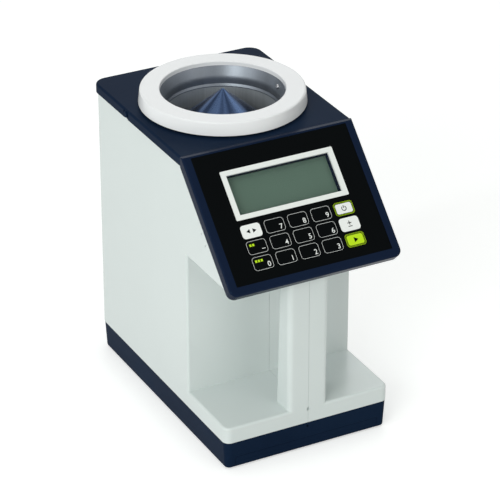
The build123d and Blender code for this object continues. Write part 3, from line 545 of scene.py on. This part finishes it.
@dataclass(frozen=True)
class CircuitBoard(Finish):
    """Green resist with paler tracks that wander over it."""

    resist: Colour = (0.012, 0.09, 0.035)
    track: Colour = (0.03, 0.19, 0.07)
    roughness: float = 0.35
    roughness_spread: float = 0.1
    wander: float = 6.0 * MM
    waves_across: float = 2400.0
    waves_along: float = 900.0
    edge: float = 3.0
    bend: Pattern = Pattern(60.0)
    relief: Relief = Relief(0.3, 0.03 * MM)

    def shade(self, graph: Graph) -> None:
        """Draws the nodes."""
        place = graph.place()
        x, y, _ = graph.axes(place)
        bend = graph.noise(place, self.bend) * self.wander
        across = ((x + bend) * self.waves_across).sine()
        along = ((y + bend) * self.waves_along).sine()
        tracks = (across * along * self.edge).clamped()
        graph.surface({
            "Base Color": graph.mix(tracks, self.resist, self.track),
            "Roughness": tracks * self.roughness_spread + self.roughness,
            "Normal": graph.bump(tracks, self.relief),
        })


@dataclass(frozen=True)
class BandedCell(Finish):
    """Wrapper of a dry cell: dark sleeve with a coppery band toward its outer end."""

    sleeve: Colour = (0.02, 0.022, 0.028)
    band: Colour = (0.55, 0.26, 0.09)
    band_start: float = 36.0 * MM
    edge: float = 4000.0
    metallic: float = 0.6
    roughness: float = 0.3
    roughness_spread: float = 0.1
    scuffs: Pattern = Pattern(300.0)

    def shade(self, graph: Graph) -> None:
        """Draws the nodes."""
        place = graph.place()
        x, _, _ = graph.axes(place)
        banded = ((x.absolute() - self.band_start) * self.edge).clamped()
        scuffs = graph.noise(place, self.scuffs)
        graph.surface({
            "Base Color": graph.mix(banded, self.sleeve, self.band),
            "Metallic": self.metallic,
            "Roughness": scuffs * self.roughness_spread + self.roughness,
        })


@dataclass(frozen=True)
class FloorPaper(Finish):
    """Pale studio paper that the eye sees a little brighter than it lights the object."""

    lift: float
    valley: Colour = (0.80, 0.80, 0.80)
    tooth: Colour = (0.83, 0.83, 0.83)
    roughness: float = 0.9
    specular: float = 0.1
    fibres: Pattern = Pattern(400.0, 3.0, 0.6)

    def shade(self, graph: Graph) -> None:
        """Draws the nodes."""
        fibres = graph.noise(graph.place(), self.fibres)
        graph.surface({
            "Base Color": graph.mix(fibres, self.valley, self.tooth),
            "Roughness": self.roughness,
            "Specular IOR Level": self.specular,
            "Emission Color": graph.mix(graph.looked_at(), BLACK, WHITE),
            "Emission Strength": self.lift,
        })


class Glyph(Enum):
    """Signs printed on the keys that carry no number."""

    NONE = 0
    ARROWS = 1
    POWER = 2
    PLUS_MINUS = 3
    START = 4


class Face(Enum):
    """How the top of a key is printed."""

    DARK = 0
    WHITE = 1
    WHITE_RINGED = 2
    GREEN_RINGED = 3


def rounded_plate(width: float, height: float, radius: float) -> bmesh.types.BMesh:
    """A flat plate with round corners, about the origin.

    Args:
        width: size along X.
        height: size along Y.
        radius: corner radius.

    Returns:
        The mesh, one face.
    """
    mesh = bmesh.new()
    bmesh.ops.create_grid(mesh, x_segments=1, y_segments=1, size=HALF_GRID)
    bmesh.ops.scale(mesh, vec=(width, height, 1.0), verts=mesh.verts)
    bmesh.ops.bevel(mesh, geom=mesh.verts[:], offset=radius, offset_type="OFFSET",
                    affect="VERTICES", segments=CORNER_STEPS, profile=CORNER_PROFILE, material=-1)
    return mesh


def thicken(mesh: bmesh.types.BMesh, amount: float) -> None:
    """Gives a flat mesh a thickness upwards.

    Args:
        mesh: flat faces that look along Z.
        amount: the thickness.
    """
    grown = bmesh.ops.extrude_face_region(mesh, geom=mesh.faces[:])
    raised = [part for part in grown["geom"] if isinstance(part, bmesh.types.BMVert)]
    bmesh.ops.translate(mesh, vec=(0.0, 0.0, amount), verts=raised)
    bmesh.ops.recalc_face_normals(mesh, faces=mesh.faces[:])


def link(name: str, data: Any) -> bpy.types.Object:
    """Makes an object of mesh, curve, lamp or camera data and puts it in the scene.

    Args:
        name: the object's name.
        data: what it shows.

    Returns:
        The object.
    """
    made = bpy.data.objects.new(name, data)
    bpy.context.scene.collection.objects.link(made)
    return made


def to_object(name: str, mesh: bmesh.types.BMesh, matrix: Matrix) -> bpy.types.Object:
    """Turns a finished bmesh into an object whose place is in its mesh.

    Args:
        name: the object's name.
        mesh: the shape; it is freed.
        matrix: where it goes.

    Returns:
        The object.
    """
    bmesh.ops.transform(mesh, matrix=matrix, verts=mesh.verts)
    data = bpy.data.meshes.new(name)
    mesh.to_mesh(data)
    mesh.free()
    return link(name, data)


def shift(mesh: bmesh.types.BMesh, verts: list[bmesh.types.BMVert], centre: Pair) -> None:
    """Moves part of a sign to a centre given in millimetres."""
    bmesh.ops.translate(mesh, vec=(centre[0] * MM, centre[1] * MM, 0.0), verts=verts)


@dataclass(frozen=True)
class Bar:
    """Flat bar of a sign; centre and size are in millimetres."""

    centre: Pair
    size: Pair

    def add_to(self, mesh: bmesh.types.BMesh) -> None:
        """Adds the bar to a mesh."""
        made = bmesh.ops.create_grid(mesh, x_segments=1, y_segments=1, size=HALF_GRID * MM)
        bmesh.ops.scale(mesh, vec=(*self.size, 1.0), verts=made["verts"])
        shift(mesh, made["verts"], self.centre)


@dataclass(frozen=True)
class Triangle:
    """Flat triangle of a sign; centre and radius are in millimetres."""

    centre: Pair
    radius: float
    turn: float

    def add_to(self, mesh: bmesh.types.BMesh) -> None:
        """Adds the triangle to a mesh, turned about the key's normal."""
        made = bmesh.ops.create_circle(mesh, cap_ends=True, segments=3, radius=self.radius * MM)
        turn = Matrix.Rotation(self.turn, 3, "Z")
        bmesh.ops.rotate(mesh, cent=(0, 0, 0), matrix=turn, verts=made["verts"])
        shift(mesh, made["verts"], self.centre)


@dataclass(frozen=True)
class Arc:
    """Open ring of a sign, with its gap at the top; radius and line are in millimetres."""

    radius: float
    line: float
    gap: float

    def add_to(self, mesh: bmesh.types.BMesh) -> None:
        """Adds the ring to a mesh, swept about the key's normal from one side of the gap."""
        radii = (self.radius - self.line / 2, self.radius + self.line / 2)
        edge = [mesh.verts.new((0.0, radius * MM, 0.0)) for radius in radii]
        start = mesh.edges.new(edge)
        turn = Matrix.Rotation(self.gap / 2, 3, "Z")
        bmesh.ops.rotate(mesh, cent=(0, 0, 0), matrix=turn, verts=edge)
        bmesh.ops.spin(mesh, geom=[start, *edge], cent=(0, 0, 0), axis=(0, 0, 1), dvec=(0, 0, 0),
                       angle=2 * math.pi - self.gap, steps=ARC_STEPS, use_merge=False)


SIGNS: dict[Glyph, tuple[Any, ...]] = {
    Glyph.ARROWS: (
        Triangle(centre=(-1.9, 0.0), radius=1.7, turn=math.pi / 2),
        Triangle(centre=(1.9, 0.0), radius=1.7, turn=-math.pi / 2),
    ),
    Glyph.POWER: (
        Arc(radius=1.55, line=SIGN_LINE, gap=math.radians(70)),
        Bar(centre=(0.0, 1.15), size=(SIGN_LINE, 1.9)),
    ),
    Glyph.PLUS_MINUS: (
        Bar(centre=(0.0, 0.75), size=(2.9, SIGN_LINE)),
        Bar(centre=(0.0, 1.6), size=(SIGN_LINE, 1.2)),
        Bar(centre=(0.0, -0.1), size=(SIGN_LINE, 1.2)),
        Bar(centre=(0.0, -1.6), size=(2.9, SIGN_LINE)),
    ),
    Glyph.START: (
        Triangle(centre=(0.1, 0.0), radius=2.0, turn=-math.pi / 2),
    ),
}


@dataclass
class Finishes:
    """All the materials, by the slot that each one stands for."""

    hopper_axis: Pair = (0.0, 0.030)
    blue_sheen: Colour = (0.35, 0.65, 1.0)
    made: dict[str, bpy.types.Material] = field(default_factory=dict)

    def plastics(self) -> dict[str, Finish]:
        """The plastic and rubber finishes, by slot."""
        return {
            "navy": MouldedPlastic(
                "navy_plastic", srgb(15, 27, 47), srgb(24, 40, 62), roughness=0.38, specular=0.012,
                sheen_tint=self.blue_sheen, wear=0.1, grain=1700.0, grain_depth=0.02 * MM),
            "bezel_blue": MouldedPlastic(
                "bezel_plastic", srgb(17, 26, 47), srgb(21, 32, 54), roughness=0.2, specular=0.05,
                sheen_tint=self.blue_sheen, grain=2200.0, grain_depth=0.008 * MM),
            "case_white": MouldedPlastic(
                "case_plastic", srgb(211, 218, 217), srgb(215, 222, 221), roughness=0.24,
                specular=0.42, grain=2400.0, grain_depth=0.006 * MM),
            "ring_white": MouldedPlastic(
                "ring_plastic", srgb(234, 234, 236), srgb(237, 237, 239), roughness=0.26,
                specular=0.4, grain=2600.0, grain_depth=0.006 * MM),
            "black_plastic": MouldedPlastic(
                "black_plastic", (0.006, 0.006, 0.007), (0.009, 0.009, 0.010), roughness=0.5,
                specular=0.2),
            "insulator": MouldedPlastic(
                "insulator", (0.02, 0.02, 0.022), (0.026, 0.026, 0.028), roughness=0.5),
            "rubber": MouldedPlastic(
                "foot_rubber", (0.012, 0.012, 0.012), (0.018, 0.018, 0.018), roughness=0.8,
                specular=0.2, grain=900.0, grain_depth=0.04 * MM),
        }

    def metals(self) -> dict[str, Finish]:
        """The metal finishes, by slot; the chamber metal is the dull wall round the cone, painted
        paler to put light into the chamber's shade.
        """
        return {
            # The pale and dark sectors of these turned metals are painted reflections.
            "bowl_metal": TurnedMetal(
                "bowl_metal", (0.10, 0.11, 0.115), (0.27, 0.30, 0.35), self.hopper_axis,
                metallic=0.72, roughness=0.40, lobes=3.0, contrast=1.4, streaks=0.1, grain=0.55),
            "electrode_metal": TurnedMetal(
                "electrode_metal", (0.008, 0.015, 0.036), (0.12, 0.19, 0.345), self.hopper_axis,
                metallic=1.0, roughness=0.28, lobes=1.7, contrast=3.6, streaks=0.15, grain=0.1),
            # Painted light: a paler copy of the turned metal that makes up for the shade down in the
            # chamber.
            "chamber_metal_painted_light": TurnedMetal(
                "chamber_metal_painted_light", (0.22, 0.24, 0.25), (0.60, 0.63, 0.66), self.hopper_axis,
                metallic=0.45, roughness=0.5, lobes=3.0, contrast=1.2, streaks=0.5, grain=0.2),
            "steel": SheetMetal("zinc_steel", (0.58, 0.58, 0.60), roughness=0.4),
            "alloy": SheetMetal("light_alloy", (0.72, 0.73, 0.75), roughness=0.35),
            "screw_metal": SheetMetal("screw_metal", (0.62, 0.62, 0.63), roughness=0.3),
        }

    def films(self) -> dict[str, Finish]:
        """The inks, films, panes, boards and cells, by slot."""
        return {
            "overlay_black": PrintedInk("overlay_film", srgb(3, 5, 6), specular=0.03),
            "key_black": PrintedInk("key_film_black", srgb(3, 5, 6), specular=0.03),
            "key_white": PrintedInk("ink_white", srgb(240, 242, 240), specular=0.15),
            "key_green": PrintedInk("ink_green", srgb(188, 228, 28), specular=0.15),
            "border_white": PrintedInk(
                "border_film", srgb(236, 239, 236), roughness=0.45, specular=0.2),
            "film": PrintedInk("membrane_film", srgb(150, 120, 60), roughness=0.4),
            "clear": ClearPane("window_pane", (0.01, 0.014, 0.012), alpha=0.06),
            "lcd": CrystalDisplay("crystal_display", srgb(104, 129, 115), srgb(96, 120, 107)),
            "board_green": CircuitBoard("circuit_board"),
            "cell_can": BandedCell("cell_sleeve"),
        }

    def build(self) -> None:
        """Makes every material once."""
        recipes = {**self.plastics(), **self.metals(), **self.films()}
        for slot, recipe in recipes.items():
            self.made[slot] = recipe.build()
            LOG.info("finish %s", slot)

    def dress(self, node: bpy.types.Object, slot: str) -> None:
        """Gives a node the material of a slot.

        Args:
            node: the object.
            slot: the record's slot name.
        """
        if not node.material_slots:
            node.data.materials.append(self.made[slot])
        for place in node.material_slots:
            place.material = self.made[slot]
        LOG.info("%s dressed in %s", node.name, slot)

    def dress_frame(self, frame: dict[str, Any]) -> None:
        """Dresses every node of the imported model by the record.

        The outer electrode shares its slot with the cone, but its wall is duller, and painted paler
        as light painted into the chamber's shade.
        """
        for entry in frame["record"]["subparts"]:
            self.dress(frame["nodes"][entry["node"]], entry["material_slot"])
        # The chamber wall gets the paler copy, light painted into its shade.
        self.dress(frame["nodes"]["outer_electrode"], "chamber_metal_painted_light")


@dataclass
class KeypadPrint:
    """The numbers, signs and outlines on the keys, each riding on its own key.

    Lengths are in metres. Only the green marks' place, size and pitch are in millimetres, as the
    shapes of the signs are.
    """

    finishes: Finishes
    normal: Vector
    key_width: float = 14.0 * MM
    key_height: float = 9.2 * MM
    key_radius: float = 2.2 * MM
    key_thickness: float = 0.7 * MM
    ink: float = 0.03 * MM
    line: float = 0.17 * MM
    outline_inset: float = 0.10 * MM
    outer_ring_inset: float = 0.06 * MM
    inner_ring_inset: float = 0.60 * MM
    fill_inset: float = 1.20 * MM
    fill_corner_share: float = 0.7
    digit_size: float = 4.9 * MM
    digit_weight: float = 0.02 * MM
    digit_place: Pair = (4.1 * MM, -1.7 * MM)
    first_mark: Pair = (-4.2, 1.7)
    mark_size: Pair = (1.4, 1.6)
    mark_pitch: float = 2.0
    marks: dict[str, int] = field(default_factory=lambda: {"key_minus": 2, "key_0": 3})
    faces: dict[str, tuple[Face, str, Glyph]] = field(default_factory=lambda: {
        "key_select": (Face.WHITE, "", Glyph.ARROWS),
        "key_power": (Face.WHITE_RINGED, "", Glyph.POWER),
        "key_bias": (Face.WHITE, "", Glyph.PLUS_MINUS),
        "key_measure": (Face.GREEN_RINGED, "", Glyph.START),
        "key_minus": (Face.DARK, "–", Glyph.NONE),
        **{f"key_{number}": (Face.DARK, str(number), Glyph.NONE) for number in range(10)},
    })

    def frame_of(self, key: str) -> Matrix:
        """The place on top of a key: X to the right, Y up the slope, Z out of the panel.

        Args:
            key: the key's node.

        Returns:
            The matrix.
        """
        low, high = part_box(key)
        right = Vector((1.0, 0.0, 0.0))
        up_slope = self.normal.cross(right)
        matrix = Matrix((right, up_slope, self.normal)).transposed().to_4x4()
        matrix.translation = (low + high) / 2 + self.normal * (self.key_thickness / 2)
        return matrix

    def print_piece(self, mesh: bmesh.types.BMesh, label: str, slot: str, key: str) -> None:
        """Puts a print on its key, dresses it and lets it ride there.

        Args:
            mesh: the print, flat about the origin; it is freed.
            label: end of the piece's name.
            slot: the record's slot.
            key: the key's node, which is its body's name too.
        """
        piece = to_object(f"{key}_{label}", mesh, self.frame_of(key))
        self.finishes.dress(piece, slot)
        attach(piece, key)

    def plate(self, inset: float, radius: float) -> bmesh.types.BMesh:
        """A key's outline drawn in by an inset, with corners of a radius."""
        return rounded_plate(self.key_width - 2 * inset, self.key_height - 2 * inset, radius)

    def add_ring(self, key: str, label: str, inset: float, slot: str) -> None:
        """Prints an outline.

        Args:
            key: the key.
            label: end of the piece's name.
            inset: gap from the key's edge to the line.
            slot: the record's slot for its ink.
        """
        mesh = self.plate(inset, self.key_radius - inset)
        ring = bmesh.ops.inset_region(mesh, faces=mesh.faces[:], thickness=self.line,
                                      use_even_offset=True, use_boundary=True)
        inner = [face for face in mesh.faces if face not in set(ring["faces"])]
        bmesh.ops.delete(mesh, geom=inner, context="FACES")
        thicken(mesh, self.ink)
        self.print_piece(mesh, label, slot, key)

    def add_fill(self, key: str, slot: str) -> None:
        """Prints the filled middle of a key.

        Args:
            key: the key.
            slot: the record's slot for its ink.
        """
        radius = self.key_radius - self.fill_inset * self.fill_corner_share
        mesh = self.plate(self.fill_inset, radius)
        thicken(mesh, self.ink)
        self.print_piece(mesh, "fill", slot, key)

    def add_digit(self, key: str, sign: str) -> None:
        """Prints a number or a minus at the lower right of a key.

        Args:
            key: the key.
            sign: what is printed.
        """
        curve = bpy.data.curves.new(f"{key}_digit", "FONT")
        curve.body = sign
        curve.size = self.digit_size
        curve.align_x = "CENTER"
        curve.align_y = "CENTER"
        curve.offset = self.digit_weight
        curve.extrude = self.ink / 2
        source = link(f"{key}_source", curve)
        bpy.context.view_layer.update()
        evaluated = source.evaluated_get(bpy.context.evaluated_depsgraph_get())
        data = bpy.data.meshes.new_from_object(evaluated)
        bpy.data.objects.remove(source)
        mesh = bmesh.new()
        mesh.from_mesh(data)
        bmesh.ops.translate(mesh, vec=(*self.digit_place, self.ink), verts=mesh.verts)
        self.print_piece(mesh, "digit", "key_white", key)

    def add_glyph(self, key: str, glyph: Glyph) -> None:
        """Prints the sign of a key that has no number, on top of its fill.

        Args:
            key: the key.
            glyph: which sign.
        """
        mesh = bmesh.new()
        for shape in SIGNS[glyph]:
            shape.add_to(mesh)
        bmesh.ops.recalc_face_normals(mesh, faces=mesh.faces[:])
        flipped = [face for face in mesh.faces if face.normal.z < 0]
        bmesh.ops.reverse_faces(mesh, faces=flipped)
        thicken(mesh, self.ink)
        bmesh.ops.translate(mesh, vec=(0.0, 0.0, self.ink), verts=mesh.verts)
        self.print_piece(mesh, "sign", "key_black", key)

    def add_marks(self, key: str, count: int) -> None:
        """Prints a row of small green squares at the upper left of a key.

        Args:
            key: the key.
            count: how many squares.
        """
        mesh = bmesh.new()
        start, rise = self.first_mark
        for number in range(count):
            Bar((start + self.mark_pitch * number, rise), self.mark_size).add_to(mesh)
        thicken(mesh, self.ink)
        self.print_piece(mesh, "marks", "key_green", key)

    def build(self, frame: dict[str, Any]) -> None:
        """Prints every key.
        """
        fills = {Face.WHITE_RINGED: "key_white", Face.GREEN_RINGED: "key_green"}
        for key, (face, sign, glyph) in self.faces.items():
            if face is Face.DARK:
                self.add_ring(key, "outline", self.outline_inset, "key_white")
            elif face in fills:
                self.finishes.dress(frame["nodes"][key], "key_black")
                self.add_ring(key, "outer_ring", self.outer_ring_inset, "key_green")
                self.add_ring(key, "inner_ring", self.inner_ring_inset, "key_green")
                self.add_fill(key, fills[face])
            if sign:
                self.add_digit(key, sign)
            if glyph is not Glyph.NONE:
                self.add_glyph(key, glyph)
        for key, count in self.marks.items():
            self.add_marks(key, count)


@dataclass(frozen=True)
class Lamp:
    """One soft lamp: where it hangs, its width and height, its watts and its colour."""

    name: str
    place: Point
    size: Pair
    power: float
    tint: Colour

    def hang(self, target: Vector) -> None:
        """Hangs the lamp so that it looks at a target.

        Args:
            target: the point it looks at.
        """
        data = bpy.data.lights.new(self.name, "AREA")
        data.shape = "RECTANGLE"
        data.size, data.size_y = self.size
        data.energy = self.power
        data.color = self.tint
        lamp = link(self.name, data)
        lamp.location = self.place
        aim = target - Vector(self.place)
        lamp.rotation_euler = aim.to_track_quat("-Z", "Y").to_euler()
        LOG.info("lamp %s", self.name)


@dataclass
class Studio:
    """Floor, light and camera."""

    floor_size: float = 6.0
    floor_drop: float = 0.2 * MM
    floor_lift: float = 0.45
    ambient: float = 0.45
    room_tint: Colour = (0.965, 1.0, 0.965)
    lamp_target: Point = (0.0, 0.0, 0.1)
    lamps: tuple[Lamp, ...] = (
        Lamp("main_lamp", (-1.35, -1.10, 0.85), (0.9, 0.9), power=14.5, tint=(0.97, 1.0, 0.97)),
        Lamp("left_lamp", (-1.55, -0.25, 0.90), (0.12, 0.9), power=4.0, tint=(0.94, 0.98, 1.0)),
        Lamp("top_lamp", (0.1, 0.2, 1.8), (1.2, 1.2), power=4.0, tint=WHITE),
        Lamp("rear_lamp", (0.70, 1.35, 1.05), (0.7, 0.7), power=2.0, tint=(0.95, 0.98, 1.0)),
        Lamp("front_lamp", (0.6, -1.7, 0.7), (1.0, 1.0), power=3.0, tint=(1.0, 1.0, 0.97)),
    )
    view_turn: float = math.radians(-27.79)
    view_pitch: float = math.radians(28.10)
    distance: float = 1.8943
    right_shift: float = 0.0041
    up_shift: float = 0.0942
    lens: float = 197.53
    sensor_width: float = 36.0
    clip: Pair = (0.05, 50.0)

    def build_floor(self) -> None:
        """Lays the pale floor, which stays pale round the object's shadow."""
        mesh = bmesh.new()
        bmesh.ops.create_grid(mesh, x_segments=1, y_segments=1, size=self.floor_size / 2)
        floor = to_object("floor", mesh, Matrix.Translation((0.0, 0.0, -self.floor_drop)))
        floor.data.materials.append(FloorPaper("floor_paper", self.floor_lift).build())
        LOG.info("floor")

    def build_world(self) -> None:
        """Lights the room evenly and shows a white background."""
        world = bpy.data.worlds.new("studio_room")
        bpy.context.scene.world = world
        world.use_nodes = True
        graph = Graph(world.node_tree)
        seen = graph.looked_at()
        graph.end("ShaderNodeBackground", "ShaderNodeOutputWorld", {
            "Color": graph.mix(seen, self.room_tint, WHITE),
            "Strength": seen * (1.0 - self.ambient) + self.ambient,
        })

    def build_camera(self) -> None:
        """Places the camera as the photograph was taken."""
        turn, pitch = self.view_turn, self.view_pitch
        right = Vector((math.cos(turn), math.sin(turn), 0.0))
        level = Vector((math.sin(turn), -math.cos(turn), 0.0))
        back = level * math.cos(pitch) + Vector((0.0, 0.0, math.sin(pitch)))
        up = back.cross(right)
        data = bpy.data.cameras.new("photo_camera")
        data.lens = self.lens
        data.sensor_width = self.sensor_width
        data.sensor_fit = "HORIZONTAL"
        data.clip_start, data.clip_end = self.clip
        camera = link("photo_camera", data)
        matrix = Matrix((right, up, back)).transposed().to_4x4()
        matrix.translation = back * self.distance + right * self.right_shift + up * self.up_shift
        camera.matrix_world = matrix
        bpy.context.scene.camera = camera
        LOG.info("camera")

    def build(self) -> None:
        """Sets up the whole studio."""
        self.build_floor()
        self.build_world()
        for lamp in self.lamps:
            lamp.hang(Vector(self.lamp_target))
        self.build_camera()
        bpy.context.scene.view_settings.view_transform = "Standard"


def main() -> None:
    """Builds the finishes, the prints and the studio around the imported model."""
    logging.basicConfig(level=logging.INFO)
    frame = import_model()
    finishes = Finishes()
    finishes.build()
    finishes.dress_frame(frame)
    press = next(joint for joint in frame["joints"] if joint["name"] == "key_5_press")
    KeypadPrint(finishes, -Vector(press["axis"])).build(frame)
    Studio().build()


if __name__ == "__main__":
    main()
